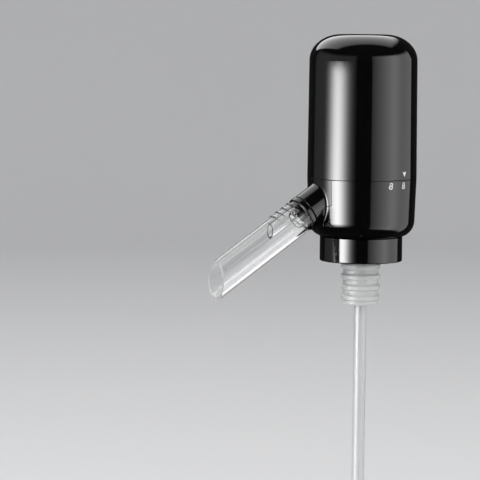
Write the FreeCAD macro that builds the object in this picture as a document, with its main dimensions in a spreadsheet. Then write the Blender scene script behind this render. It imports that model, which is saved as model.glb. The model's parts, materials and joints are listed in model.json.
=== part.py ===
"""Wine preservation dispenser: a pump head that plugs into a bottle and pours through a clear spout.

Frame: +Z runs up the bottle's axis, the origin lies on that axis at the collar's lower edge, and the
spout points towards -X and down. Lengths are millimetres and angles are degrees.
"""
import FreeCAD, Part

import math
import os
from types import SimpleNamespace

import Sketcher
from FreeCAD import Placement, Rotation, Vector

doc = FreeCAD.newDocument("wine_dispenser")

# ---------------------------------------------------------------------------------------------------
# Driving sizes. Each row becomes one cell of the sheet, under its own alias.
# ---------------------------------------------------------------------------------------------------
SIZES = {
    # running fits and gaps
    "running_gap": 0.3,
    "slide_fit": 0.05,
    "seam_gap": 0.2,
    "parting_gap": 0.25,
    "parting_drop": 1.0,
    "small_edge": 0.3,
    "seam_edge": 0.12,
    "boss_root": 0.5,
    # cells, and the ring that they stand in
    "cell_radius": 5.25,
    "cell_length": 44.5,
    "cell_count": 6,
    "cell_play": 0.25,
    "cell_edge": 0.6,
    "nub_radius": 1.9,
    "nub_height": 0.8,
    # motor and its damper
    "motor_radius": 10.0,
    "motor_headroom": 0.6,
    "motor_edge": 1.2,
    "boss_radius": 3.0,
    "boss_height": 1.2,
    "damper_thickness": 1.0,
    "damper_margin": 3.5,
    "end_cap_height": 2.0,
    "terminal_height": 1.8,
    "terminal_width": 2.2,
    "terminal_thickness": 0.6,
    "terminal_place": 6.0,
    "end_cap_step": 0.4,
    "end_cap_edge": 0.6,
    "shaft_radius": 1.0,
    "shaft_reach": 5.0,
    # upper cover
    "cover_wall": 2.4,
    "cover_draft": 0.4,
    "cover_play": 0.35,
    "shoulder_run": 15.0,
    "shoulder_drop": 12.3,
    "sleeve_wall": 1.7,
    # press button, its clip and its spring
    "button_radius": 10.2,
    "button_thickness": 2.3,
    "button_dish": 0.35,
    "button_edge": 0.5,
    "button_travel": 1.2,
    "stem_radius": 2.6,
    "stem_tip": 0.9,
    "stem_groove": 0.5,
    "clip_radius": 4.6,
    "clip_mouth": 3.2,
    "clip_thickness": 0.6,
    "clip_play": 0.2,
    "web_thickness": 1.2,
    "spring_room": 3.4,
    "spring_coil_radius": 4.4,
    "spring_wire": 0.3,
    "spring_turns": 3,
    # battery holder
    "holder_tube_wall": 1.0,
    "star_radius": 19.0,
    "flange_thickness": 1.5,
    "base_thickness": 1.6,
    "leg_count": 3,
    "leg_radius": 2.6,
    "leg_circle": 14.6,
    "contact_height": 1.5,
    "contact_thickness": 0.5,
    "contact_width": 4.0,
    "contact_strip": 0.3,
    "contact_reach": 4.0,
    "plate_end_angle": 10.0,
    "carrier_thickness": 1.5,
    "carrier_hole": 8.0,
    "carrier_margin": 1.0,
    "carrier_edge": 0.5,
    # switch board
    "board_radius": 13.5,
    "board_thickness": 1.2,
    "board_flat": 1.5,
    "carrier_screw_head": 1.7,
    "carrier_screw_bite": 5.0,
    "lead_radius": 0.45,
    "switch_side": 6.0,
    "switch_height": 2.2,
    "plunger_radius": 1.5,
    "plunger_height": 1.2,
    "plunger_root": 0.5,
    "switch_play": 0.3,
    # lower housing and its bayonet neck
    "housing_height": 28.0,
    "housing_wall": 2.3,
    "housing_taper": 1.0,
    "housing_corner": 8.0,
    "neck_wall": 2.4,
    "neck_height": 5.0,
    "neck_step": 4.0,
    "neck_slope": 2.5,
    "lug_count": 3,
    "lug_angle": 14.0,
    "lug_depth": 1.3,
    "lug_height": 1.6,
    "lug_lift": 1.4,
    "twist_angle": 17.5,
    # collar over the bottle's lip
    "lip_radius": 15.0,
    "lip_room": 2.6,
    "collar_wall": 2.05,
    "collar_height": 11.5,
    "collar_web": 3.0,
    "collar_edge": 0.6,
    "gasket_thickness": 1.2,
    "gasket_width": 6.4,
    # screws that hold collar, floor and holder together
    "screw_radius": 1.25,
    "screw_head_radius": 2.1,
    "screw_head_height": 1.5,
    "screw_bite": 6.5,
    "screw_slot": 0.5,
    "pilot_depth": 1.0,
    # bottle stopper and straw
    "stopper_core": 8.4,
    "stopper_head": 9.9,
    "stopper_head_height": 3.0,
    "stopper_depth": 21.0,
    "rib_radius": 9.4,
    "rib_land": 1.4,
    "rib_flank": 0.9,
    "rib_pitch": 5.0,
    "rib_count": 5,
    "first_rib": 2.5,
    "stopper_edge": 1.0,
    "straw_radius": 3.0,
    "straw_wall": 0.8,
    "straw_depth": 230.0,
    # wine manifold
    "riser_radius": 4.2,
    "wine_bore": 2.2,
    "riser_root": 10.0,
    "manifold_flange": 11.6,
    "manifold_flange_height": 2.5,
    "riser_fillet": 1.2,
    "outlet_radius": 5.2,
    "outlet_start": 3.0,
    "outlet_top_gap": 1.2,
    "outlet_end_gap": 0.8,
    "port_radius": 1.1,
    "port_bore": 0.6,
    "port_place": 6.3,
    "port_root": 4.0,
    # air line
    "air_line_place": 8.6,
    "barb_radius": 1.9,
    "barb_bore": 1.0,
    "barb_length": 5.0,
    "hose_wall": 1.05,
    "hose_tuck": 2.5,
    "valve_radius": 3.3,
    "valve_length": 6.0,
    "valve_rim": 0.5,
    "valve_rim_height": 1.6,
    # spout socket, ring, tube and nozzle
    "spout_angle": 33.0,
    "socket_radius": 8.5,
    "socket_drop": 2.3,
    "socket_stub": 5.3,
    "socket_root_fillet": 1.6,
    "socket_edge": 0.3,
    "bezel_half_angle": 26.0,
    "ring_radius": 8.7,
    "ring_gap": 0.4,
    "ring_length": 2.4,
    "ring_edge": 0.4,
    "tube_radius": 7.9,
    "tube_wall": 1.4,
    "tube_edge": 0.5,
    "bore_fillet": 0.8,
    "spout_reach": 51.6,
    "grip_count": 4,
    "first_grip": 2.0,
    "grip_pitch": 3.4,
    "grip_width": 1.1,
    "grip_height": 0.6,
    "grip_edge": 0.3,
    "grip_angle": 70.0,
    "spigot_radius": 6.4,
    "spigot_wall": 1.7,
    "spigot_depth": 7.0,
    "oring_wire": 0.6,
    "oring_place": 3.4,
    "nozzle_radius": 3.0,
    "nozzle_wall": 0.7,
    "nozzle_reach": 20.0,
    # diaphragm air pump, under the motor
    "pump_radius": 10.9,
    "pump_cap_height": 2.8,
    "valve_plate_height": 3.4,
    "diaphragm_thickness": 1.2,
    "frame_height": 9.2,
    "frame_wall": 2.7,
    "frame_roof": 1.2,
    "window_angle": 64.0,
    "window_lintel": 0.6,
    "cup_radius": 2.8,
    "cup_depth": 2.3,
    "cup_circle": 5.0,
    "swing_thickness": 1.4,
    "swing_hub": 3.4,
    "swing_hub_height": 2.4,
    "swing_lift": 0.5,
    "swing_arm_width": 2.2,
    "swing_arm_end": 1.4,
    "cup_stem_radius": 0.9,
    "wheel_radius": 5.0,
    "wheel_height": 3.4,
    "wheel_edge": 0.4,
    "drive_pin_radius": 0.7,
    "drive_pin_offset": 1.5,
    "drive_pin_end": 0.5,
    "small_screw_radius": 0.8,
    "pump_screw_circle": 9.2,
    "pump_screw_bite": 4.0,
    "pump_screw_head": 1.45,
    "small_screw_head_height": 1.0,
    "cup_count": 3,
    "inlet_radius": 0.6,
    "chamber_depth": 1.0,
    "chamber_margin": 1.5,
    "chamber_link": 1.2,
    "chamber_floor": 0.6,
}


class Size:
    """A number together with the sheet expression that drives it, so arithmetic keeps both in step."""

    def __init__(self, value, text):
        self.value = value
        self.text = text

    def __add__(self, other):
        other = as_size(other)
        return Size(self.value + other.value, f"({self.text} + {other.text})")

    def __sub__(self, other):
        other = as_size(other)
        return Size(self.value - other.value, f"({self.text} - {other.text})")

    def __mul__(self, other):
        other = as_size(other)
        return Size(self.value * other.value, f"({self.text} * {other.text})")

    def __truediv__(self, other):
        other = as_size(other)
        return Size(self.value / other.value, f"({self.text} / {other.text})")

    def __radd__(self, other):
        return as_size(other) + self

    def __rsub__(self, other):
        return as_size(other) - self

    def __rmul__(self, other):
        return as_size(other) * self

    def __rtruediv__(self, other):
        return as_size(other) / self

    def __neg__(self):
        return Size(-self.value, f"(0 - {self.text})")


def as_size(number):
    return number if isinstance(number, Size) else Size(float(number), repr(float(number)))


def sine(angle):
    return Size(math.sin(math.radians(angle.value)), f"sin({angle.text})")


def cosine(angle):
    return Size(math.cos(math.radians(angle.value)), f"cos({angle.text})")


def fill_sheet():
    sheet = doc.addObject("Spreadsheet::Sheet", "Sizes")
    for row, (alias, value) in enumerate(SIZES.items(), start=1):
        sheet.set(f"A{row}", str(value))
        sheet.setAlias(f"A{row}", alias)
    doc.recompute()
    return SimpleNamespace(**{alias: Size(float(value), f"Sizes.{alias}") for alias, value in SIZES.items()})


s = fill_sheet()

# ---------------------------------------------------------------------------------------------------
# Levels and radii that follow from the driving sizes
# ---------------------------------------------------------------------------------------------------
# radii, from the motor outwards
holder_bore = s.motor_radius + s.damper_thickness + s.slide_fit * 2
holder_tube = holder_bore + s.holder_tube_wall
cell_circle = holder_tube + s.cell_play + s.cell_radius
cover_top_inner = cell_circle + s.cell_radius + s.cover_play
cover_top_radius = cover_top_inner + s.cover_wall
body_radius = cover_top_radius + s.cover_draft
cover_rim_inner = body_radius - s.cover_wall
neck_outer = cover_rim_inner - s.running_gap
neck_inner = neck_outer - s.neck_wall
foot_radius = body_radius - s.housing_taper
collar_inner = s.lip_radius + s.lip_room
collar_radius = collar_inner + s.collar_wall

# levels, from the bottle upwards
web_bottom = s.collar_height - s.collar_web
floor_bottom = s.collar_height
floor_top = floor_bottom + s.housing_wall
seam = floor_bottom + s.housing_height
neck_top = seam + s.neck_height
holder_floor = neck_top + s.flange_thickness
holder_base = neck_top - s.base_thickness
cell_bottom = holder_floor + s.contact_height
cell_top = cell_bottom + s.cell_length
plates_top = cell_top + s.contact_thickness
carrier_top = plates_top + s.carrier_thickness
board_top = carrier_top + s.board_thickness
switch_top = board_top + s.switch_height
plunger_top = switch_top + s.plunger_height
stem_bottom = plunger_top + s.switch_play
clip_bottom = stem_bottom + s.stem_tip
clip_top = clip_bottom + s.clip_thickness
web_under = clip_top + s.clip_play
well_floor = web_under + s.web_thickness
button_under = well_floor + s.spring_room
cover_top = button_under + s.button_thickness

# levels of the pump, from the floor of the holder upwards
pump_cap_top = holder_floor + s.pump_cap_height
valve_plate_top = pump_cap_top + s.valve_plate_height
diaphragm_top = valve_plate_top + s.diaphragm_thickness
frame_top = diaphragm_top + s.frame_height
motor_top = cell_top - s.motor_headroom - s.terminal_height - s.end_cap_height
shaft_bottom = frame_top - s.shaft_reach
shaft_top = frame_top + s.shaft_reach

# the spout's axis crosses the bottle's axis at this level; distances along it are counted from there
spout_sine = sine(s.spout_angle)
spout_cosine = cosine(s.spout_angle)
socket_edge_reach = (body_radius - s.socket_radius * spout_sine) / spout_cosine
spout_origin = seam - s.socket_drop + socket_edge_reach * spout_sine - s.socket_radius * spout_cosine
socket_end = body_radius / spout_cosine + s.socket_stub
ring_start = socket_end + s.ring_gap
tube_start = ring_start + s.ring_length
spigot_start = socket_end - s.spigot_depth
socket_start = (spout_origin + s.socket_radius * spout_cosine - seam + s.running_gap) / spout_sine
outlet_end = spigot_start - s.outlet_end_gap
mouth_place = body_radius + s.spout_reach
socket_bore = s.spigot_radius + s.slide_fit * 3
spigot_bore = s.spigot_radius - s.spigot_wall
upright_to_spout = -(s.spout_angle + 90)

PAST = 1.0  # how far a cutter runs past the piece that it cuts
FULL_TURN = 360.0
ARC_DEGREES = 180 / math.pi


# ---------------------------------------------------------------------------------------------------
# Drawing helpers
# ---------------------------------------------------------------------------------------------------
def new_body(label):
    body = doc.addObject("PartDesign::Body", label)
    body.Label = label
    body.AllowCompound = True
    return body


def origin_part(body, role):
    return next(feature for feature in body.Origin.OriginFeatures if feature.Role == role)


def bind(thing, path, size):
    """Set one property of thing to follow the sheet."""
    thing.setExpression(path, as_size(size).text)


def new_sketch(body, plane, lift=None, turn=None):
    """A sketch on one of the body's own planes, lifted off it or turned about its upright axis."""
    sketch = body.newObject("Sketcher::SketchObject", f"{body.Name}_sketch")
    sketch.AttachmentSupport = [(origin_part(body, plane), "")]
    sketch.MapMode = "FlatFace"
    if lift is not None:
        bind(sketch, "AttachmentOffset.Base.z", lift)
    if turn is not None:
        sketch.AttachmentOffset = Placement(Vector(), Rotation(Vector(0, 1, 0), turn.value))
        bind(sketch, "AttachmentOffset.Rotation.Angle", turn)
    return sketch


ORIGIN = (-1, 1)  # the sketch's own origin point


def pin_down(sketch, geometry, end, x, y):
    """Hold a point of the sketch at x, y."""
    first = sketch.ConstraintCount
    sketch.addConstraint([
        Sketcher.Constraint("DistanceX", *ORIGIN, geometry, end, x.value),
        Sketcher.Constraint("DistanceY", *ORIGIN, geometry, end, y.value),
    ])
    for index, size in enumerate((x, y), start=first):
        bind(sketch, f"Constraints[{index}]", size)


def hold_radius(sketch, geometry, radius):
    index = sketch.addConstraint(Sketcher.Constraint("Radius", geometry, radius.value))
    bind(sketch, f"Constraints[{index}]", radius)


def corner(x, y, round=None, oval=None, bend=None):
    """One corner of an outline.

    round is a fillet's radius. oval is the run and drop of a quarter ellipse between an upright edge
    and a level one. bend is the radius of the edge that leaves the corner, positive where it bulges
    to the left of its direction.
    """
    return SimpleNamespace(
        x=as_size(x), y=as_size(y), round=round and as_size(round), oval=oval, bend=bend and as_size(bend)
    )


def flat(x, y):
    return Vector(x, y, 0)


def unit(vector):
    return Vector(vector).normalize()


def fillet_points(before, here, after):
    """Where a fillet at the corner here meets its two edges, its centre, and whether it turns left."""
    come, leave = unit(here.at - before.at), unit(after.at - here.at)
    left = come.cross(leave).z > 0
    setback = here.round.value * math.tan(come.getAngle(leave) / 2)
    first, last = here.at - come * setback, here.at + leave * setback
    side = flat(-come.y, come.x) if left else flat(come.y, -come.x)
    return first, last, first + side * here.round.value, left


def arc_between(start, end, centre, counterclockwise):
    """A circular arc, which a sketch always keeps counterclockwise."""
    if not counterclockwise:
        start, end = end, start
    angles = [math.atan2(point.y - centre.y, point.x - centre.x) for point in (start, end)]
    circle = Part.Circle(centre, Vector(0, 0, 1), (start - centre).Length)
    return Part.ArcOfCircle(circle, *angles)


def outline(sketch, corners):
    """A closed outline whose corners, fillets and bends all follow the sheet."""
    count = len(corners)
    for here in corners:
        here.at = flat(here.x.value, here.y.value)
        here.first = here.last = here.at
    for index, here in enumerate(corners):
        before, after = corners[index - 1], corners[(index + 1) % count]
        if here.round:
            here.first, here.last, here.centre, here.left = fillet_points(before, here, after)
        if here.oval:
            place_oval(before, here)
    for index, here in enumerate(corners):
        after = corners[(index + 1) % count]
        if here.bend:
            half = (after.first - here.last) / 2
            rise = math.sqrt(here.bend.value ** 2 - half.Length ** 2)
            side = unit(flat(-half.y, half.x)) * math.copysign(rise, here.bend.value)
            bulges_left = here.bend.value > 0
            arc = arc_between(here.last, after.first, here.last + half - side, not bulges_left)
            here.edge = sketch.addGeometry(arc)
            here.edge_start, here.edge_end = (2, 1) if bulges_left else (1, 2)
            hold_radius(sketch, here.edge, Size(abs(here.bend.value), f"abs({here.bend.text})"))
        else:
            here.edge = sketch.addGeometry(Part.LineSegment(here.last, after.first))
            here.edge_start, here.edge_end = 1, 2
    for index, here in enumerate(corners):
        before = corners[index - 1]
        if here.round:
            join_by_fillet(sketch, before, here)
        elif here.oval:
            join_by_oval(sketch, before, here)
        else:
            sketch.addConstraint(
                Sketcher.Constraint("Coincident", before.edge, before.edge_end, here.edge, here.edge_start)
            )
            pin_down(sketch, here.edge, here.edge_start, here.x, here.y)


def join_by_fillet(sketch, before, here):
    arc = sketch.addGeometry(arc_between(here.first, here.last, here.centre, here.left))
    start, end = (1, 2) if here.left else (2, 1)
    point = sketch.addGeometry(Part.Point(here.at), True)
    sketch.addConstraint([
        Sketcher.Constraint("Tangent", before.edge, before.edge_end, arc, start),
        Sketcher.Constraint("Tangent", arc, end, here.edge, here.edge_start),
        Sketcher.Constraint("PointOnObject", point, 1, before.edge),
        Sketcher.Constraint("PointOnObject", point, 1, here.edge),
    ])
    hold_radius(sketch, arc, here.round)
    pin_down(sketch, point, 1, here.x, here.y)


def place_oval(before, here):
    """The ends and centre of a quarter ellipse, whose run lies along x and whose drop lies along y."""
    run, drop = here.oval
    upright_first = abs(before.at.x - here.at.x) < abs(before.at.y - here.at.y)
    on_side = (here.x, here.y - drop)
    on_top = (here.x - run, here.y)
    here.ends = (on_side, on_top) if upright_first else (on_top, on_side)
    here.first, here.last = [flat(x.value, y.value) for x, y in here.ends]
    here.middle = (here.x - run, here.y - drop)
    here.left = upright_first


def join_by_oval(sketch, before, here):
    run, drop = here.oval
    middle = flat(here.middle[0].value, here.middle[1].value)
    tips = [middle + flat(run.value, 0), middle + flat(0, drop.value)]
    level = run.value >= drop.value
    ellipse = Part.Ellipse(*(tips if level else tips[::-1]), middle)
    ends = (here.first, here.last) if here.left else (here.last, here.first)
    arc = sketch.addGeometry(Part.ArcOfEllipse(ellipse, *[ellipse.parameter(point) for point in ends]))
    start, end = (1, 2) if here.left else (2, 1)
    sketch.exposeInternalGeometry(arc)
    sketch.addConstraint([
        Sketcher.Constraint("Horizontal" if level else "Vertical", arc + 1),
        Sketcher.Constraint("Coincident", before.edge, before.edge_end, arc, start),
        Sketcher.Constraint("Coincident", arc, end, here.edge, here.edge_start),
    ])
    pin_down(sketch, arc, 3, *here.middle)
    pin_down(sketch, arc, start, *here.ends[0])
    pin_down(sketch, arc, end, *here.ends[1])


def circle(sketch, x, y, radius):
    x, y, radius = as_size(x), as_size(y), as_size(radius)
    ring = sketch.addGeometry(Part.Circle(flat(x.value, y.value), Vector(0, 0, 1), radius.value))
    pin_down(sketch, ring, 3, x, y)
    hold_radius(sketch, ring, radius)


def feature(body, kind, sketch):
    made = body.newObject(f"PartDesign::{kind}", f"{body.Name}_{kind.lower()}")
    made.Profile = sketch
    sketch.Visibility = False
    return made


def turned(body, corners, cut=False, angle=None, turn=None):
    """Revolve an outline of radius and height about Z, or groove it away; angle is centred on turn."""
    sketch = new_sketch(body, "XZ_Plane", turn=turn)
    outline(sketch, corners)
    made = feature(body, "Groove" if cut else "Revolution", sketch)
    made.ReferenceAxis = (sketch, ["V_Axis"])
    if angle is not None:
        made.Midplane = True
        bind(made, "Angle", angle)
    return made


def prism(body, draw, low, high, cut=False):
    """Pad, or pocket away, what draw puts in a level sketch, between two levels."""
    low, high = as_size(low), as_size(high)
    sketch = new_sketch(body, "XY_Plane", lift=low)
    draw(sketch)
    made = feature(body, "Pocket" if cut else "Pad", sketch)
    made.Reversed = cut
    bind(made, "Length", high - low)
    return made


def slot_through(body, corners, width, cut=False):
    """Pad or pocket an outline of the XZ plane by width, half to each side of that plane."""
    sketch = new_sketch(body, "XZ_Plane")
    outline(sketch, corners)
    made = feature(body, "Pocket" if cut else "Pad", sketch)
    made.Midplane = True
    bind(made, "Length", width)
    return made


def around(body, original, count):
    """Repeat a feature evenly around Z."""
    pattern = body.newObject("PartDesign::PolarPattern", f"{body.Name}_pattern")
    pattern.Originals = [original]
    pattern.Axis = (origin_part(body, "Z_Axis"), [""])
    pattern.Angle = FULL_TURN
    bind(pattern, "Occurrences", count)
    body.Tip = pattern
    return pattern


def holes(body, places, radius, low, high):
    """Plain round holes at several places, between two levels."""
    def draw(sketch):
        for x, y in places:
            circle(sketch, x, y, radius)
    return prism(body, draw, low, high, cut=True)


def posts(body, places, radius, low, high):
    def draw(sketch):
        for x, y in places:
            circle(sketch, x, y, radius)
    return prism(body, draw, low, high)


def box_corners(low_x, low_y, high_x, high_y):
    return [corner(low_x, low_y), corner(high_x, low_y), corner(high_x, high_y), corner(low_x, high_y)]


def ring_corners(inner, outer, low, high):
    return box_corners(inner, low, outer, high)


def polar(radius, angle):
    """The place at an angle on a circle about Z."""
    angle = as_size(angle)
    return radius * cosine(angle), radius * sine(angle)


def ring_of(count, radius, first=0):
    """Places evenly spaced round Z, with the first one at an angle from +X."""
    return [polar(radius, FULL_TURN / count * number + first) for number in range(int(count.value))]


def lay_along_spout(thing, foot):
    """Turn a piece that was made upright so that its Z runs out along the spout, from a foot on its axis."""
    thing.Placement = Placement(Vector(), Rotation(Vector(0, 1, 0), upright_to_spout.value))
    bind(thing, "Placement.Base.x", foot[0])
    bind(thing, "Placement.Base.z", foot[1])
    bind(thing, "Placement.Rotation.Angle", upright_to_spout)


def along_spout(distance, rise):
    """The point of the XZ plane at a distance out along the spout's axis, and a rise square to it."""
    x = -(distance * spout_cosine) - rise * spout_sine
    z = spout_origin - distance * spout_sine + rise * spout_cosine
    return x, z


def turned_about_spout(body, start, end, radius, cut=False, edge=None):
    """A round bar or bore on the spout's axis, in a body that stands upright; edge rounds its far end."""
    sketch = new_sketch(body, "XZ_Plane")
    places = [(start, 0, None), (end, 0, None), (end, radius, edge), (start, radius, None)]
    outline(sketch, [corner(*along_spout(as_size(t), as_size(u)), round=fillet) for t, u, fillet in places])
    axis = [along_spout(as_size(t), as_size(0)) for t in (start, end)]
    line = sketch.addGeometry(Part.LineSegment(*[flat(x.value, z.value) for x, z in axis]), True)
    for end_point, (x, z) in enumerate(axis, start=1):
        pin_down(sketch, line, end_point, x, z)
    made = feature(body, "Groove" if cut else "Revolution", sketch)
    made.ReferenceAxis = (sketch, ["Axis0"])
    return made


# ---------------------------------------------------------------------------------------------------
# Upper cover, button, clip and spring
# ---------------------------------------------------------------------------------------------------
well_radius = s.button_radius + s.running_gap
sleeve_outer = well_radius + s.sleeve_wall
lug_bottom = seam + s.lug_lift
lug_top = lug_bottom + s.lug_height
lug_inner = cover_rim_inner - s.lug_depth


def make_top_cover():
    body = new_body("top_cover")
    rim = seam + s.seam_gap
    ceiling = cover_top - s.cover_wall
    inner_run = cover_top_inner - sleeve_outer - s.small_edge
    stem_hole = s.stem_radius + s.running_gap
    turned(body, [
        corner(cover_rim_inner, rim),
        corner(body_radius, rim, round=s.seam_edge),
        corner(cover_top_radius, cover_top, oval=(s.shoulder_run, s.shoulder_drop)),
        corner(well_radius, cover_top, round=s.small_edge),
        corner(well_radius, well_floor),
        corner(stem_hole, well_floor),
        corner(stem_hole, web_under),
        corner(sleeve_outer, web_under),
        corner(sleeve_outer, ceiling),
        corner(cover_top_inner, ceiling, oval=(inner_run, s.shoulder_drop - s.cover_wall)),
    ])
    lug_root = cover_rim_inner + s.boss_root
    lug = turned(body, ring_corners(lug_inner, lug_root, lug_bottom, lug_top), angle=s.lug_angle)
    around(body, lug, s.lug_count)
    return body


def make_button_cap():
    body = new_body("button_cap")
    rim = s.button_radius - s.button_edge * 2
    dish = (rim * rim + s.button_dish * s.button_dish) / (s.button_dish * 2)
    neck = s.stem_radius - s.stem_groove
    turned(body, [
        corner(0, stem_bottom),
        corner(s.stem_radius, stem_bottom, round=s.small_edge),
        corner(s.stem_radius, clip_bottom),
        corner(neck, clip_bottom),
        corner(neck, clip_top),
        corner(s.stem_radius, clip_top),
        corner(s.stem_radius, button_under),
        corner(s.button_radius, button_under),
        corner(s.button_radius, cover_top, round=s.button_edge),
        corner(rim, cover_top, bend=dish),
        corner(0, cover_top - s.button_dish),
    ])
    return body


def make_button_clip():
    """A snap ring with a mouth, in the groove near the stem's lower end."""
    body = new_body("button_clip")
    bore = s.stem_radius - s.stem_groove + s.slide_fit
    turned(body, ring_corners(bore, s.clip_radius, clip_bottom + s.slide_fit, clip_top - s.slide_fit))
    half_mouth = s.clip_mouth / 2
    def draw(sketch):
        outline(sketch, box_corners(0, -half_mouth, s.clip_radius + PAST, half_mouth))
    prism(body, draw, clip_bottom - PAST, clip_top + PAST, cut=True)
    return body


def make_button_spring():
    body = new_body("button_spring")
    sketch = new_sketch(body, "XZ_Plane")
    lowest = well_floor + s.spring_wire + s.slide_fit
    height = s.spring_room - (s.spring_wire + s.slide_fit) * 2
    circle(sketch, s.spring_coil_radius, lowest, s.spring_wire)
    coil = feature(body, "AdditiveHelix", sketch)
    coil.ReferenceAxis = (sketch, ["V_Axis"])
    coil.Mode = 0
    bind(coil, "Height", height)
    bind(coil, "Pitch", height / s.spring_turns)
    return body


# ---------------------------------------------------------------------------------------------------
# Lower housing and spout bezel, split from one moulded form
# ---------------------------------------------------------------------------------------------------
def make_lower_form():
    """The whole lower shell with its bayonet neck and spout socket, before the bezel is parted off."""
    body = new_body("lower_form")
    step = seam - s.neck_step
    slope_foot = step - s.neck_slope
    share = (slope_foot - floor_bottom) / s.housing_height
    wall_there = foot_radius + s.housing_taper * share - s.housing_wall
    turned(body, [
        corner(0, floor_bottom),
        corner(foot_radius, floor_bottom, round=s.housing_corner),
        corner(body_radius, seam, round=s.seam_edge),
        corner(neck_outer, seam),
        corner(neck_outer, neck_top),
        corner(neck_inner, neck_top),
        corner(neck_inner, step),
        corner(wall_there, slope_foot),
        corner(foot_radius - s.housing_wall, floor_top, round=s.housing_corner - s.housing_wall),
        corner(0, floor_top),
    ])
    socket = turned_about_spout(body, socket_start, socket_end, s.socket_radius, edge=s.socket_edge)
    doc.recompute()
    root = [
        f"Edge{number}" for number, edge in enumerate(socket.Shape.Edges, start=1)
        if follows_socket_root(edge)
    ]
    fillet = body.newObject("PartDesign::Fillet", "socket_root_fillet")
    fillet.Base = (socket, root)
    bind(fillet, "Radius", s.socket_root_fillet)
    turned_about_spout(body, socket_start - s.socket_radius, socket_end + PAST, socket_bore, cut=True)
    add_bayonet_tracks(body)
    add_floor_holes(body, floor_bottom - PAST, floor_top + PAST)
    return body


def follows_socket_root(edge):
    """True where an edge runs round the socket on the outside of the shell."""
    axis = Vector(-spout_cosine.value, 0, -spout_sine.value)
    start = Vector(0, 0, spout_origin.value)
    for parameter in (edge.FirstParameter, (edge.FirstParameter + edge.LastParameter) / 2):
        point = edge.valueAt(parameter)
        along = (point - start).dot(axis)
        off_axis = (point - start - axis * along).Length
        on_socket = abs(off_axis - s.socket_radius.value) < 0.01
        outside = math.hypot(point.x, point.y) > foot_radius.value - s.housing_wall.value / 2
        if not (on_socket and outside and along < socket_end.value - 0.01):
            return False
    return True


def add_bayonet_tracks(body):
    """Three L-shaped tracks in the neck: an entry from above, and a level run to the locked place."""
    clear = s.running_gap
    floor_radius = lug_inner - clear
    slack = clear / neck_outer * ARC_DEGREES * 2
    level = ring_corners(floor_radius, neck_outer + PAST, lug_bottom - clear, lug_top + clear)
    run = turned(
        body, level, cut=True, angle=s.lug_angle + s.twist_angle + slack, turn=-(s.twist_angle / 2)
    )
    around(body, run, s.lug_count)
    upright = ring_corners(floor_radius, neck_outer + PAST, lug_bottom - clear, neck_top + PAST)
    entry = turned(body, upright, cut=True, angle=s.lug_angle + slack, turn=-s.twist_angle)
    around(body, entry, s.lug_count)


screw_places = ring_of(s.leg_count, s.leg_circle)


def add_floor_holes(body, low, high):
    """The holes that floor and collar share: the riser, the air port and the three screws."""
    holes(body, [(0, 0)], s.riser_radius + s.slide_fit * 2, low, high)
    holes(body, [(s.port_place, 0)], s.port_radius + s.slide_fit * 2, low, high)
    holes(body, screw_places, s.screw_radius + s.slide_fit * 2, low, high)


def make_bezel_zone(label, grow):
    """The space that the bezel is taken from; grow opens it by the parting gap for the housing."""
    body = new_body(label)
    far = socket_end + s.socket_radius
    step = seam - s.neck_step - s.neck_slope
    inside = neck_outer + s.parting_gap * 2 - grow
    deep = neck_outer - s.housing_wall * 2 - grow
    half_angle = s.bezel_half_angle + grow / body_radius * ARC_DEGREES
    turned(body, [
        corner(inside, seam + PAST),
        corner(far, seam + PAST),
        corner(far, floor_bottom),
        corner(deep, floor_bottom),
        corner(deep, step + grow),
        corner(inside, step + grow),
    ], angle=half_angle * 2, turn=as_size(180))
    reach = (0 - s.socket_radius, far * 2)
    low, high = [along_spout(as_size(distance), -(s.parting_drop + grow)) for distance in reach]
    slot_through(body, [
        corner(*low),
        corner(*high),
        corner(high[0], -far),
        corner(low[0], -far),
    ], far * 4, cut=True)
    return body


def make_lower_housing(form):
    cutter = make_bezel_zone("bezel_opening", s.parting_gap)
    housing = doc.addObject("Part::Cut", "lower_housing")
    housing.Base, housing.Tool = form, cutter
    return housing


def make_spout_bezel(form):
    zone = make_bezel_zone("bezel_zone", as_size(0))
    bezel = doc.addObject("Part::Common", "spout_bezel")
    bezel.Base, bezel.Tool = form, zone
    return bezel


# ---------------------------------------------------------------------------------------------------
# Collar, gasket, screws, stopper and straw
# ---------------------------------------------------------------------------------------------------
def make_collar_ring():
    body = new_body("collar_ring")
    turned(body, [
        corner(0, web_bottom),
        corner(collar_inner, web_bottom),
        corner(collar_inner, 0),
        corner(collar_radius, 0, round=s.collar_edge),
        corner(collar_radius, s.collar_height),
        corner(0, s.collar_height),
    ])
    add_floor_holes(body, web_bottom - PAST, s.collar_height + PAST)
    head_room = s.screw_head_radius + s.slide_fit * 2
    head_top = web_bottom + s.screw_head_height + s.slide_fit * 2
    holes(body, screw_places, head_room, web_bottom - PAST, head_top)
    return body


gasket_bottom = web_bottom - s.gasket_thickness


def make_lip_gasket():
    body = new_body("lip_gasket")
    outer = collar_inner - s.running_gap * 2
    turned(body, ring_corners(outer - s.gasket_width, outer, gasket_bottom, web_bottom))
    return body


def make_housing_screws():
    """Three pan-head screws from below, through collar and floor into the legs of the holder."""
    body = new_body("housing_screws")
    head_bottom = web_bottom + s.slide_fit
    head_top = head_bottom + s.screw_head_height
    tip = floor_top + s.screw_bite
    posts(body, screw_places, s.screw_head_radius, head_bottom, head_top)
    posts(body, screw_places, s.screw_radius, head_top, tip)
    def draw(sketch):
        for x, y in screw_places:
            half_length, half_width = s.screw_radius, s.screw_slot / 2
            outline(sketch, box_corners(x - half_length, y - half_width, x + half_length, y + half_width))
    prism(body, draw, head_bottom - PAST, head_bottom + s.screw_head_height / 2, cut=True)
    return body


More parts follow.
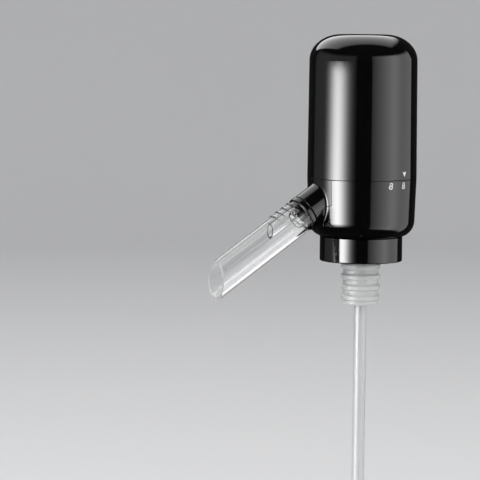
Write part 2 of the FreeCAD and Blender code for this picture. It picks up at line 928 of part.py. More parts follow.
def make_bottle_stopper():
    """A silicone plug: head under the collar's web, core, and ribs that seal in the bottle's neck."""
    body = new_body("bottle_stopper")
    head_bottom = web_bottom - s.stopper_head_height
    bottom = -s.stopper_depth
    half_land, half_base = s.rib_land / 2, s.rib_land / 2 + s.rib_flank
    edge = [corner(0, web_bottom), corner(s.stopper_head, web_bottom), corner(s.stopper_head, head_bottom)]
    edge.append(corner(s.stopper_core, head_bottom))
    for number in range(int(s.rib_count.value)):
        middle = s.first_rib - s.rib_pitch * number
        edge += [
            corner(s.stopper_core, middle + half_base),
            corner(s.rib_radius, middle + half_land),
            corner(s.rib_radius, middle - half_land),
            corner(s.stopper_core, middle - half_base),
        ]
    edge += [corner(s.stopper_core, bottom, round=s.stopper_edge), corner(0, bottom)]
    turned(body, edge[::-1])
    riser_foot = -s.riser_root
    holes(body, [(0, 0)], s.riser_radius + s.slide_fit, riser_foot, web_bottom + PAST)
    holes(body, [(0, 0)], s.straw_radius + s.slide_fit, bottom - PAST, riser_foot)
    holes(body, [(s.port_place, 0)], s.port_radius + s.slide_fit, bottom - PAST, web_bottom + PAST)
    return body


def make_dip_tube():
    """The straw, cut at a slant so that it can't seal itself on the bottle's floor."""
    body = new_body("dip_tube")
    top = -s.riser_root - s.slide_fit
    turned(body, ring_corners(s.straw_radius - s.straw_wall, s.straw_radius, -s.straw_depth, top))
    slant = s.straw_radius * 2
    slot_through(body, [
        corner(-slant, -s.straw_depth - slant),
        corner(slant, -s.straw_depth - slant),
        corner(slant, -s.straw_depth + slant),
    ], slant * 2, cut=True)
    return body


# ---------------------------------------------------------------------------------------------------
# Wine manifold and air line
# ---------------------------------------------------------------------------------------------------
air_barb_top = floor_top + s.manifold_flange_height + s.barb_length
pump_barb_bottom = holder_base - s.barb_length + s.hose_tuck
valve_middle = (air_barb_top + pump_barb_bottom) / 2
valve_low = valve_middle - s.valve_length / 2
valve_high = valve_middle + s.valve_length / 2
hose_bore = s.barb_radius + s.slide_fit


def make_wine_manifold():
    """Riser from the straw, sloping outlet towards the spout, flange on the floor, and the air port."""
    body = new_body("wine_manifold")
    flange_top = floor_top + s.manifold_flange_height
    elbow_top = holder_base - s.outlet_top_gap
    turned(body, [
        corner(0, -s.riser_root),
        corner(s.riser_radius, -s.riser_root),
        corner(s.riser_radius, floor_top),
        corner(s.manifold_flange, floor_top),
        corner(s.manifold_flange, flange_top),
        corner(s.riser_radius, flange_top, round=s.riser_fillet),
        corner(s.riser_radius, elbow_top),
        corner(0, elbow_top),
    ])
    turned_about_spout(body, s.outlet_start, outlet_end, s.outlet_radius)
    far = s.outlet_radius * 4
    slot_through(body, box_corners(-far, elbow_top, far, elbow_top + far), far, cut=True)
    posts(body, [(s.port_place, 0)], s.port_radius, s.port_root, floor_top + s.boss_root)
    posts(body, [(s.air_line_place, 0)], s.barb_radius, flange_top - s.boss_root, air_barb_top)
    middle = floor_top + s.manifold_flange_height / 2
    holes(body, [(s.air_line_place, 0)], s.barb_bore, middle, air_barb_top + PAST)
    holes(body, [(s.port_place, 0)], s.port_bore, s.port_root - PAST, middle)
    cross_half = s.port_bore
    start = s.port_place - s.port_bore
    end = s.air_line_place + s.barb_bore
    cross = box_corners(start, middle - cross_half, end, middle + cross_half)
    slot_through(body, cross, cross_half * 2, cut=True)
    holes(body, [(0, 0)], s.wine_bore, -s.riser_root - PAST, elbow_top - s.outlet_radius)
    turned_about_spout(body, s.outlet_start, outlet_end + PAST, s.wine_bore, cut=True)
    return body


def make_hose(label, low, high):
    hose = new_body(label)
    turned(hose, ring_corners(hose_bore, hose_bore + s.hose_wall, low, high))
    bind(hose, "Placement.Base.x", s.air_line_place)
    return hose


def make_check_valve():
    """An in-line non-return valve: a two-part disc body with a barb at each end."""
    body = new_body("check_valve")
    waist = s.valve_radius - s.valve_rim
    rim_low, rim_high = valve_middle - s.valve_rim_height / 2, valve_middle + s.valve_rim_height / 2
    turned(body, [
        corner(s.barb_bore, valve_low - s.hose_tuck),
        corner(s.barb_radius, valve_low - s.hose_tuck),
        corner(s.barb_radius, valve_low),
        corner(waist, valve_low),
        corner(waist, rim_low),
        corner(s.valve_radius, rim_low),
        corner(s.valve_radius, rim_high),
        corner(waist, rim_high),
        corner(waist, valve_high),
        corner(s.barb_radius, valve_high),
        corner(s.barb_radius, valve_high + s.hose_tuck),
        corner(s.barb_bore, valve_high + s.hose_tuck),
    ])
    bind(body, "Placement.Base.x", s.air_line_place)
    return body


# ---------------------------------------------------------------------------------------------------
# Spout: tube, ring, O-ring and inner nozzle, each made upright and then laid along the spout
# ---------------------------------------------------------------------------------------------------
def cut_upright(body, place):
    """Cut the far end of a piece on the spout's axis by the upright plane x = -place."""
    far = s.socket_radius * 2
    def at(rise):
        return (place - rise * spout_sine) / spout_cosine
    slot_through(body, [
        corner(-far, at(-far)),
        corner(far, at(far)),
        corner(far, place * 3),
        corner(-far, place * 3),
    ], far * 2, cut=True)


def make_spout_tube():
    """The spigot that goes into the socket, and the tube, which has grip ribs on top of its root."""
    body = new_body("spout_tube")
    bore = s.tube_radius - s.tube_wall
    groove_middle = spigot_start + s.oring_place
    groove_low = groove_middle - s.oring_wire - s.slide_fit
    groove_high = groove_middle + s.oring_wire + s.slide_fit
    groove = socket_bore - s.oring_wire * 2 - s.slide_fit * 2
    far = mouth_place * 1.5
    turned(body, [
        corner(spigot_bore, spigot_start),
        corner(s.spigot_radius, spigot_start, round=s.small_edge),
        corner(s.spigot_radius, groove_low),
        corner(groove, groove_low),
        corner(groove, groove_high),
        corner(s.spigot_radius, groove_high),
        corner(s.spigot_radius, tube_start),
        corner(s.tube_radius, tube_start, round=s.tube_edge),
        corner(s.tube_radius, far),
        corner(bore, far),
        corner(bore, tube_start + s.tube_wall, round=s.bore_fillet),
        corner(spigot_bore, tube_start + s.tube_wall),
    ])
    outer = s.tube_radius + s.grip_height
    for number in range(int(s.grip_count.value)):
        low = tube_start + s.first_grip + s.grip_pitch * number
        high = low + s.grip_width
        turned(body, [
            corner(bore + s.tube_wall / 2, low),
            corner(outer, low, round=s.grip_edge),
            corner(outer, high, round=s.grip_edge),
            corner(bore + s.tube_wall / 2, high),
        ], angle=s.grip_angle)
    cut_upright(body, mouth_place)
    lay_along_spout(body, along_spout(as_size(0), as_size(0)))
    return body


def make_spout_ring():
    body = new_body("spout_ring")
    bore = s.spigot_radius + s.slide_fit
    turned(body, [
        corner(bore, ring_start),
        corner(s.ring_radius, ring_start, round=s.ring_edge),
        corner(s.ring_radius, tube_start, round=s.ring_edge),
        corner(bore, tube_start),
    ])
    lay_along_spout(body, along_spout(as_size(0), as_size(0)))
    return body


def make_spout_oring():
    ring = doc.addObject("Part::Torus", "spout_oring")
    bind(ring, "Radius1", socket_bore - s.slide_fit - s.oring_wire)
    bind(ring, "Radius2", s.oring_wire)
    lay_along_spout(ring, along_spout(spigot_start + s.oring_place, as_size(0)))
    return ring


def make_inner_nozzle():
    """A chamber pressed into the spigot, and a narrower jet that leaves it along the top of the tube."""
    body = new_body("inner_nozzle")
    outer = spigot_bore - s.slide_fit
    jet_place = s.tube_radius - s.tube_wall - s.running_gap - s.nozzle_radius
    jet_start = tube_start + s.tube_wall + s.bore_fillet + s.slide_fit * 2
    chamber_end = jet_start + s.nozzle_wall * 2
    tip = tube_start + s.nozzle_reach
    far = tip + s.nozzle_radius * 3
    posts(body, [(0, 0)], outer, spigot_start, chamber_end + s.nozzle_wall)
    posts(body, [(jet_place, 0)], s.nozzle_radius, jet_start, far)
    holes(body, [(0, 0)], outer - s.nozzle_wall, spigot_start - PAST, chamber_end)
    holes(body, [(jet_place, 0)], s.nozzle_radius - s.nozzle_wall, jet_start + s.nozzle_wall, far + PAST)
    cut_upright(body, tip * spout_cosine)
    lay_along_spout(body, along_spout(as_size(0), as_size(0)))
    return body


# ---------------------------------------------------------------------------------------------------
# Battery holder, cells, contacts, board and switch
# ---------------------------------------------------------------------------------------------------
# the cells stand between the legs, so the first one is half a step round from +X
half_cell_step = FULL_TURN / s.cell_count / 2
cell_places = ring_of(s.cell_count, cell_circle, half_cell_step)

# the screws of the carrier stand just outside the board, and their heads hold its edge down
carrier_screw_circle = s.board_radius + s.small_screw_radius + s.slide_fit * 2
carrier_screw_places = ring_of(s.leg_count, carrier_screw_circle)
lead_places = [(s.terminal_place, 0), (-s.terminal_place, 0)]


def make_battery_holder():
    """Legs to the floor, base inside the neck, flange on it, and a star of posts round the motor's bore."""
    body = new_body("battery_holder")
    base_radius = neck_inner - s.running_gap
    flange_radius = neck_outer - s.running_gap
    turned(body, [
        corner(0, holder_base),
        corner(base_radius, holder_base),
        corner(base_radius, neck_top),
        corner(flange_radius, neck_top),
        corner(flange_radius, holder_floor),
        corner(s.star_radius, holder_floor),
        corner(s.star_radius, cell_top),
        corner(holder_bore, cell_top),
        corner(holder_bore, holder_floor),
        corner(0, holder_floor),
    ])
    bay = s.cell_radius + s.cell_play
    holes(body, cell_places, bay, holder_floor, cell_top + PAST)
    posts(body, screw_places, s.leg_radius, floor_top, holder_base + s.boss_root)
    pilot = s.screw_radius + s.slide_fit
    holes(body, screw_places, pilot, floor_top - PAST, floor_top + s.screw_bite + s.pilot_depth)
    barb_room = s.barb_radius + s.slide_fit * 2
    holes(body, [(s.air_line_place, 0)], barb_room, holder_base - PAST, holder_floor + PAST)
    pilot = s.small_screw_radius + s.slide_fit
    pilot_foot = carrier_top - s.carrier_screw_bite - s.running_gap
    holes(body, carrier_screw_places, pilot, pilot_foot, cell_top + PAST)
    return body


def make_cells():
    """Six cells, stood alternately on their two ends, as cells in series are."""
    half = s.cell_length / 2
    shoulder = half - s.nub_height
    cells = []
    for number, (x, y) in enumerate(cell_places, start=1):
        body = new_body(f"battery_cell_{number}")
        turned(body, [
            corner(0, -half),
            corner(s.cell_radius, -half, round=s.cell_edge),
            corner(s.cell_radius, shoulder, round=s.cell_edge),
            corner(s.nub_radius, shoulder),
            corner(s.nub_radius, half, round=s.small_edge),
            corner(0, half),
        ])
        body.Placement = Placement(Vector(), Rotation(Vector(1, 0, 0), 180 * (number % 2)))
        bind(body, "Placement.Base.x", x)
        bind(body, "Placement.Base.y", y)
        bind(body, "Placement.Base.z", cell_bottom + half)
        cells.append(body)
    return cells


def make_contact_springs():
    """A folded strip under each cell: a foot on the holder and a tongue that presses the cell up."""
    body = new_body("contact_springs")
    strip, reach = s.contact_strip, s.contact_reach
    low, high = holder_floor, cell_bottom - s.slide_fit
    crest = cell_circle + reach / 2
    tip = crest + strip * 4
    sketch = new_sketch(body, "XZ_Plane", turn=half_cell_step)
    outline(sketch, [
        corner(cell_circle - reach, low),
        corner(cell_circle + reach, low),
        corner(cell_circle + reach, low + strip),
        corner(cell_circle - reach + strip * 4, low + strip),
        corner(crest, high - strip),
        corner(tip, high - strip * 2),
        corner(tip + strip, high - strip),
        corner(crest, high),
        corner(cell_circle - reach, low + strip * 1.6),
    ])
    leaf = feature(body, "Pad", sketch)
    leaf.Midplane = True
    bind(leaf, "Length", s.contact_width)
    around(body, leaf, s.cell_count)
    return body


def make_contact_plates():
    """Three curved plates across the tops of the cells, each joining a pair."""
    body = new_body("contact_plates")
    inner = cell_circle - s.contact_width / 2
    outer = cell_circle + s.contact_width / 2
    span = (half_cell_step + s.plate_end_angle) * 2
    section = ring_corners(inner, outer, cell_top, plates_top)
    plate = turned(body, section, angle=span, turn=half_cell_step * 2)
    around(body, plate, s.cell_count / 2)
    return body


def make_contact_carrier():
    """The disc that closes the holder, with a seat for the board."""
    body = new_body("contact_carrier")
    outer = cell_circle + s.cell_radius - s.carrier_margin
    turned(body, [
        corner(s.carrier_hole, plates_top),
        corner(outer, plates_top),
        corner(outer, carrier_top, round=s.carrier_edge),
        corner(s.carrier_hole, carrier_top),
    ])
    bore = s.small_screw_radius + s.slide_fit
    holes(body, carrier_screw_places, bore, plates_top - PAST, carrier_top + PAST)
    return body


def make_carrier_screws():
    body = new_body("carrier_screws")
    head_low = board_top + s.slide_fit
    posts(body, carrier_screw_places, s.carrier_screw_head, head_low, head_low + s.small_screw_head_height)
    posts(body, carrier_screw_places, s.small_screw_radius, carrier_top - s.carrier_screw_bite, head_low)
    return body


def make_switch_board():
    """A round board with a flat on two sides and a hole for each of the motor's leads."""
    body = new_body("switch_board")
    posts(body, [(0, 0)], s.board_radius, carrier_top, board_top)
    flat_place, far = s.board_radius - s.board_flat, s.board_radius + PAST
    def draw(sketch):
        outline(sketch, box_corners(-far, flat_place, far, far))
        outline(sketch, box_corners(-far, -far, far, -flat_place))
    prism(body, draw, carrier_top - PAST, board_top + PAST, cut=True)
    holes(body, lead_places, s.lead_radius + s.slide_fit, carrier_top - PAST, board_top + PAST)
    return body


def make_motor_leads():
    """Two stiff leads from the motor's terminals up into the board."""
    body = new_body("motor_leads")
    low = motor_top + s.end_cap_height + s.terminal_height + s.slide_fit
    posts(body, lead_places, s.lead_radius, low, board_top)
    return body


def make_push_switch():
    body = new_body("push_switch")
    half = s.switch_side / 2
    def draw(sketch):
        outline(sketch, box_corners(-half, -half, half, half))
    prism(body, draw, board_top, switch_top)
    bore = s.plunger_radius + s.running_gap
    bore_floor = switch_top - s.plunger_root - s.button_travel - s.running_gap
    holes(body, [(0, 0)], bore, bore_floor, switch_top + PAST)
    return body


def make_switch_plunger():
    body = new_body("switch_plunger")
    turned(body, [
        corner(0, switch_top - s.plunger_root),
        corner(s.plunger_radius, switch_top - s.plunger_root),
        corner(s.plunger_radius, plunger_top, round=s.small_edge),
        corner(0, plunger_top),
    ])
    return body


# ---------------------------------------------------------------------------------------------------
# Motor and diaphragm pump
# ---------------------------------------------------------------------------------------------------
cup_places = ring_of(s.cup_count, s.cup_circle)
pump_screw_places = ring_of(s.cup_count, s.pump_screw_circle, FULL_TURN / s.cup_count / 2)


def make_motor_can():
    body = new_body("motor_can")
    turned(body, [
        corner(s.shaft_radius + s.slide_fit, frame_top - s.boss_height),
        corner(s.boss_radius, frame_top - s.boss_height),
        corner(s.boss_radius, frame_top),
        corner(s.motor_radius, frame_top, round=s.motor_edge),
        corner(s.motor_radius, motor_top),
        corner(0, motor_top),
        corner(0, shaft_top + s.running_gap),
        corner(s.shaft_radius + s.slide_fit, shaft_top + s.running_gap),
    ])
    return body


def make_motor_end_cap():
    """The brush cap, with the two terminals that the leads are soldered to."""
    body = new_body("motor_end_cap")
    top = motor_top + s.end_cap_height
    radius = s.motor_radius - s.end_cap_step
    turned(body, [
        corner(0, motor_top),
        corner(radius, motor_top),
        corner(radius, top, round=s.end_cap_edge),
        corner(0, top),
    ])
    half_width, half_thickness = s.terminal_width / 2, s.terminal_thickness / 2
    def draw(sketch):
        for place in (s.terminal_place, -s.terminal_place):
            low, high = place - half_thickness, place + half_thickness
            outline(sketch, box_corners(low, -half_width, high, half_width))
    prism(body, draw, top - s.boss_root, top + s.terminal_height)
    return body


def make_motor_damper():
    """A foam sleeve between the motor and the bore of the holder."""
    body = new_body("motor_damper")
    low, high = frame_top + s.damper_margin, motor_top - s.damper_margin
    inner = s.motor_radius + s.slide_fit
    turned(body, ring_corners(inner, inner + s.damper_thickness, low, high))
    return body


def make_motor_shaft():
    body = new_body("motor_shaft")
    turned(body, ring_corners(0, s.shaft_radius, shaft_bottom, shaft_top))
    return body


wheel_top = frame_top - s.boss_height - s.frame_roof
wheel_bottom = wheel_top - s.wheel_height
pump_head_top = holder_floor + s.small_screw_head_height + s.slide_fit * 2
swing_low = diaphragm_top + s.swing_lift
swing_hub_top = swing_low + s.swing_hub_height
hub_pit = swing_low + s.running_gap


def make_eccentric_wheel():
    """The wheel on the motor's shaft, with a slanting drive pin that points at the swing plate's centre."""
    body = new_body("eccentric_wheel")
    bore_floor = shaft_bottom - s.slide_fit
    turned(body, [
        corner(0, wheel_bottom),
        corner(s.wheel_radius, wheel_bottom, round=s.wheel_edge),
        corner(s.wheel_radius, wheel_top, round=s.wheel_edge),
        corner(s.shaft_radius + s.slide_fit, wheel_top),
        corner(s.shaft_radius + s.slide_fit, bore_floor),
        corner(0, bore_floor),
    ])
    sketch = new_sketch(body, "XY_Plane", lift=hub_pit + s.slide_fit * 2)
    circle(sketch, s.drive_pin_end, 0, s.drive_pin_radius)
    upper = new_sketch(body, "XY_Plane", lift=wheel_bottom + s.boss_root)
    circle(upper, s.drive_pin_offset, 0, s.drive_pin_radius)
    pin = feature(body, "AdditiveLoft", sketch)
    pin.Sections = [upper]
    return body


def make_pump_frame():
    """The cup that joins pump and motor, open at its foot, with three windows round the wheel."""
    body = new_body("pump_frame")
    inner = s.pump_radius - s.frame_wall
    roof_under = frame_top - s.frame_roof
    turned(body, [
        corner(inner, diaphragm_top),
        corner(s.pump_radius, diaphragm_top),
        corner(s.pump_radius, frame_top),
        corner(s.boss_radius + s.slide_fit * 2, frame_top),
        corner(s.boss_radius + s.slide_fit * 2, roof_under),
        corner(inner, roof_under),
    ])
    hole_top = diaphragm_top + s.pump_screw_bite + s.running_gap
    window_low, window_high = hole_top + s.window_lintel, roof_under - s.window_lintel
    opening = ring_corners(inner - PAST, s.pump_radius + PAST, window_low, window_high)
    window = turned(body, opening, cut=True, angle=s.window_angle)
    around(body, window, s.cup_count)
    bore = s.small_screw_radius + s.slide_fit
    holes(body, pump_screw_places, bore, diaphragm_top - PAST, hole_top)
    return body


def make_swing_plate():
    """A three-armed plate: its hub takes the drive pin, and each arm rocks one cup of the diaphragm."""
    body = new_body("swing_plate")
    plate_top = swing_low + s.swing_thickness
    sweep_top = s.drive_pin_offset + s.drive_pin_radius + s.running_gap
    sweep_low = s.drive_pin_end + s.drive_pin_radius + s.running_gap
    turned(body, [
        corner(0, swing_low),
        corner(s.swing_hub, swing_low),
        corner(s.swing_hub, swing_hub_top),
        corner(sweep_top, swing_hub_top),
        corner(sweep_low, hub_pit),
        corner(0, hub_pit),
    ])
    half_width = s.swing_arm_width / 2
    arm_root, arm_end = s.swing_hub - s.boss_root * 2, s.cup_circle + s.swing_arm_end
    def draw(sketch):
        outline(sketch, box_corners(arm_root, -half_width, arm_end, half_width))
    arm = prism(body, draw, swing_low, plate_top)
    around(body, arm, s.cup_count)
    posts(body, cup_places, s.cup_stem_radius, diaphragm_top + s.slide_fit, swing_low + s.boss_root)
    return body


def make_diaphragm():
    """A rubber sheet with three cups, clamped between frame and valve plate."""
    body = new_body("diaphragm")
    turned(body, ring_corners(0, s.pump_radius, valve_plate_top, diaphragm_top))
    posts(body, cup_places, s.cup_radius, valve_plate_top - s.cup_depth, valve_plate_top + s.boss_root)
    bore = s.small_screw_radius + s.slide_fit
    holes(body, pump_screw_places, bore, valve_plate_top - PAST, diaphragm_top + PAST)
    return body


def make_valve_plate():
    body = new_body("valve_plate")
    turned(body, ring_corners(0, s.pump_radius, pump_cap_top, valve_plate_top))
    well = s.cup_radius + s.running_gap
    holes(body, cup_places, well, valve_plate_top - s.cup_depth - s.running_gap, valve_plate_top + PAST)
    holes(body, cup_places, s.inlet_radius, pump_cap_top - PAST, valve_plate_top)
    bore = s.small_screw_radius + s.slide_fit
    holes(body, pump_screw_places, bore, pump_cap_top - PAST, valve_plate_top + PAST)
    return body


def make_pump_cap():
    """The pump's foot, with an air chamber and the nozzle that the hose goes on."""
    body = new_body("pump_cap")
    turned(body, ring_corners(0, s.pump_radius, holder_floor, pump_cap_top))
    chamber = s.cup_circle + s.chamber_margin
    holes(body, [(0, 0)], chamber, pump_cap_top - s.chamber_depth, pump_cap_top + PAST)
    posts(body, [(s.air_line_place, 0)], s.barb_radius, pump_barb_bottom, holder_floor + s.boss_root)
    bore_top = pump_cap_top - s.chamber_floor
    holes(body, [(s.air_line_place, 0)], s.barb_bore, pump_barb_bottom - PAST, bore_top)
    link = box_corners(s.cup_circle, bore_top - s.chamber_link, s.air_line_place, bore_top)
    slot_through(body, link, s.barb_bore, cut=True)
    bore = s.small_screw_radius + s.slide_fit
    holes(body, pump_screw_places, bore, holder_floor - PAST, pump_cap_top + PAST)
    head_room = s.pump_screw_head + s.slide_fit
    holes(body, pump_screw_places, head_room, holder_floor - PAST, pump_head_top)
    return body


def make_pump_screws():
    body = new_body("pump_screws")
    head_low, head_high = holder_floor + s.slide_fit, pump_head_top - s.slide_fit
    posts(body, pump_screw_places, s.pump_screw_head, head_low, head_high)
    tip = diaphragm_top + s.pump_screw_bite
    posts(body, pump_screw_places, s.small_screw_radius, head_high, tip)
    return body


# ---------------------------------------------------------------------------------------------------
# Build, check and write
# ---------------------------------------------------------------------------------------------------
def build():
    form = make_lower_form()
    return [
        make_top_cover(),
        make_button_cap(),
        make_button_clip(),
        make_button_spring(),
        make_lower_housing(form),
        make_spout_bezel(form),
        make_collar_ring(),
        make_lip_gasket(),
        make_housing_screws(),
        make_bottle_stopper(),
        make_dip_tube(),
        make_wine_manifold(),
        make_hose("air_hose_lower", air_barb_top - s.hose_tuck, valve_low),
        make_check_valve(),
        make_hose("air_hose_upper", valve_high, pump_barb_bottom + s.hose_tuck),
        make_spout_tube(),
        make_spout_ring(),
        make_spout_oring(),
        make_inner_nozzle(),
        make_battery_holder(),
        *make_cells(),
        make_contact_springs(),
        make_contact_plates(),
        make_contact_carrier(),
        make_carrier_screws(),
        make_switch_board(),
        make_motor_leads(),
        make_push_switch(),
        make_switch_plunger(),
        make_motor_can(),
        make_motor_end_cap(),
        make_motor_damper(),
        make_motor_shaft(),
        make_eccentric_wheel(),
        make_pump_frame(),
        make_swing_plate(),
        make_diaphragm(),
        make_valve_plate(),
        make_pump_cap(),
        make_pump_screws(),
    ]


def check(pieces):
    """Stop if any object failed, or any piece isn't a sound solid."""
    failed = [thing.Name for thing in doc.Objects if {"Invalid", "Error"} & set(thing.State)]
    unsound = [
        piece.Label for piece in pieces
        if piece.Shape.isNull() or not piece.Shape.isValid() or not piece.Shape.Solids
    ]
    if failed or unsound:
        raise RuntimeError(f"failed: {failed}, unsound: {unsound}")


def write(pieces):
    os.makedirs("parts", exist_ok=True)
    for piece in pieces:
        piece.Shape.exportStep(f"parts/{piece.Label}.step")


pieces = build()
doc.recompute()
check(pieces)
write(pieces)
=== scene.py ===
"""The wine preservation dispenser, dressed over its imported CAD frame. Every length is in metres."""

import json
import math

import bpy
from mathutils import Matrix, Vector
from mathutils.bvhtree import BVHTree


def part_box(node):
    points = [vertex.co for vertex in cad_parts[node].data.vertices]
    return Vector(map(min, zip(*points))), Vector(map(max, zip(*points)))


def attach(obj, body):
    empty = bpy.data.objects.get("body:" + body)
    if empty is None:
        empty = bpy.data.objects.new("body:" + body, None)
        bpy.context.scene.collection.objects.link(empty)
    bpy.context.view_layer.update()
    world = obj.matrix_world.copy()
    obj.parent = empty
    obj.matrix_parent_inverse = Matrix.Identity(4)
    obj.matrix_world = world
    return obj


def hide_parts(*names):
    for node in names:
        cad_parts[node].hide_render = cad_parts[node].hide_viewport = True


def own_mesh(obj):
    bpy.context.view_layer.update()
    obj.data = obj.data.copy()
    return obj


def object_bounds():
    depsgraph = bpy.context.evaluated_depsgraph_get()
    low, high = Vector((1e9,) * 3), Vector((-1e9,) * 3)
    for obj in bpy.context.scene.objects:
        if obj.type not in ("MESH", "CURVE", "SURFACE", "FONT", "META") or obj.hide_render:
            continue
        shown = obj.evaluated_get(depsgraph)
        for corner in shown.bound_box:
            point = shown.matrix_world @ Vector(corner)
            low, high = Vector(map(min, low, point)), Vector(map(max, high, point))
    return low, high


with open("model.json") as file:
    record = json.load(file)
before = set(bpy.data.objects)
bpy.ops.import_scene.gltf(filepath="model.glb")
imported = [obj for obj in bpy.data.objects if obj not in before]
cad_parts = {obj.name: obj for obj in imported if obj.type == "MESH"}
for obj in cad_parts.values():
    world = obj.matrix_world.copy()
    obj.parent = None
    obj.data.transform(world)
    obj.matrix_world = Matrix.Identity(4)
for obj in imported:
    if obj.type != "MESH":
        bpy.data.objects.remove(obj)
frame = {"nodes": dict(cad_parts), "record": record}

MM = 0.001
CAD_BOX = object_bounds()
NODES = frame["nodes"]


# ---------------------------------------------------------------- materials

class Finish:
    """A node material round one Principled shader, with object coordinates to paint by."""

    def __init__(self, name, **settings):
        self.material = bpy.data.materials.new(name)
        self.material.use_nodes = True
        self.tree = self.material.node_tree
        self.shader = self.tree.nodes["Principled BSDF"]
        self.place = self.node("ShaderNodeTexCoord").outputs["Object"]
        for socket, value in settings.items():
            self.shader.inputs[socket.replace("_", " ")].default_value = value

    def node(self, kind, **values):
        """A node of this kind, with settings or inputs set by name."""
        made = self.tree.nodes.new(kind)
        for name, value in values.items():
            if hasattr(made, name):
                setattr(made, name, value)
            else:
                made.inputs[name.replace("_", " ")].default_value = value
        return made

    def link(self, output, socket):
        self.tree.links.new(output, socket)

    def noise(self, size, detail=2.0, roughness=0.5, stretch=(1, 1, 1)):
        """Noise whose features are about size across; stretch squeezes it along an axis."""
        mapping = self.node("ShaderNodeMapping")
        mapping.inputs["Scale"].default_value = stretch
        self.link(self.place, mapping.inputs["Vector"])
        made = self.node("ShaderNodeTexNoise", Scale=1 / size, Detail=detail, Roughness=roughness)
        self.link(mapping.outputs["Vector"], made.inputs["Vector"])
        return made.outputs["Fac"]

    def ranged(self, value, low, high, start=0.3, end=0.7):
        """The value's stretch from start to end, mapped to low to high; noise lies mostly from 0.3 to 0.7."""
        made = self.node("ShaderNodeMapRange")
        self.link(value, made.inputs["Value"])
        for name, number in (("From Min", start), ("From Max", end), ("To Min", low), ("To Max", high)):
            made.inputs[name].default_value = number
        return made.outputs["Result"]

    def along(self, axis):
        """The coordinate along x, y or z, in metres."""
        made = self.node("ShaderNodeSeparateXYZ")
        self.link(self.place, made.inputs["Vector"])
        return made.outputs[axis.upper()]

    def mixed(self, amount, first, second):
        """Two colours mixed; either may be a colour or an output."""
        made = self.node("ShaderNodeMix", data_type="RGBA")
        self.link(amount, made.inputs["Factor"])
        for socket, value in (("A", first), ("B", second)):
            target = [i for i in made.inputs if i.name == socket and i.type == "RGBA"][0]
            if isinstance(value, bpy.types.NodeSocket):
                self.link(value, target)
            else:
                target.default_value = (*value, 1)
        return [o for o in made.outputs if o.type == "RGBA"][0]

    def maths(self, operation, first, second=0.0):
        made = self.node("ShaderNodeMath", operation=operation)
        for socket, value in zip(made.inputs, (first, second)):
            if isinstance(value, bpy.types.NodeSocket):
                self.link(value, socket)
            else:
                socket.default_value = value
        return made.outputs[0]

    def colour(self, output):
        self.link(output, self.shader.inputs["Base Color"])
        return self

    def roughness(self, output):
        self.link(output, self.shader.inputs["Roughness"])
        return self

    def bump(self, height, depth):
        """Relief of this depth, in metres; several calls add up."""
        made = self.node("ShaderNodeBump", Distance=depth)
        self.link(height, made.inputs["Height"])
        before = self.shader.inputs["Normal"]
        if before.is_linked:
            self.link(before.links[0].from_socket, made.inputs["Normal"])
        self.link(made.outputs["Normal"], before)
        return self


def gloss_black():
    finish = Finish("gloss_black", IOR=1.5)
    flow = finish.noise(9 * MM, 3.0)
    finish.colour(finish.mixed(finish.ranged(flow, 0, 1), (0.0010, 0.0010, 0.0011), (0.0018, 0.0018, 0.0019)))
    finish.roughness(finish.ranged(finish.noise(2.2 * MM, 4.0), 0.035, 0.06))
    finish.bump(finish.noise(6.0 * MM, 1.0), 0.0015 * MM)
    return finish


def clear_plastic(mouth):
    """Polished moulding, but matt on the sawn cut at the spout's mouth, which is its lowest x."""
    finish = Finish("clear_plastic", IOR=1.49, Transmission_Weight=1.0)
    finish.colour(finish.mixed(finish.noise(6 * MM), (0.985, 0.99, 0.995), (0.995, 0.995, 0.99)))
    polished = finish.ranged(finish.noise(3 * MM, 3.0), 0.004, 0.018)
    sawn = finish.ranged(finish.along("x"), 0.4, 0, mouth + 0.1 * MM, mouth + 0.14 * MM)
    finish.roughness(finish.maths("MAXIMUM", polished, sawn))
    finish.link(finish.maths("SUBTRACT", 1.0, sawn), finish.shader.inputs["Transmission Weight"])
    finish.bump(finish.noise(4.0 * MM, 1.0), 0.002 * MM)
    return finish


def straw_plastic():
    """Milky extruded tube, with faint die lines along it."""
    finish = Finish("straw_plastic", IOR=1.49, Transmission_Weight=0.35)
    finish.colour(finish.mixed(finish.noise(30 * MM), (0.8, 0.815, 0.82), (0.85, 0.86, 0.86)))
    finish.roughness(finish.ranged(finish.noise(1.0 * MM, 2.0, stretch=(1, 1, 0.02)), 0.26, 0.34))
    finish.bump(finish.noise(0.8 * MM, 1.0, stretch=(1, 1, 0.01)), 0.001 * MM)
    return finish


def silicone():
    finish = Finish(
        "silicone", IOR=1.43, Transmission_Weight=0.12,
        Subsurface_Weight=0.5, Subsurface_Scale=3 * MM, Subsurface_Radius=(1.0, 0.95, 0.9),
    )
    finish.colour(finish.mixed(finish.noise(7 * MM, 4.0), (0.66, 0.67, 0.67), (0.74, 0.745, 0.74)))
    finish.roughness(finish.ranged(finish.noise(0.7 * MM, 4.0), 0.36, 0.5))
    finish.bump(finish.noise(0.35 * MM, 3.0), 0.012 * MM)
    return finish


def moulded(name, dark, light, low, high, grain=0.25 * MM, depth=0.01 * MM, **settings):
    """Moulded plastic or rubber: flow marks in its colour and a fine spark-eroded grain."""
    finish = Finish(name, **settings)
    finish.colour(finish.mixed(finish.noise(6 * MM, 4.0), dark, light))
    finish.roughness(finish.ranged(finish.noise(1.5 * MM, 4.0), low, high))
    finish.bump(finish.noise(grain, 3.0), depth)
    return finish


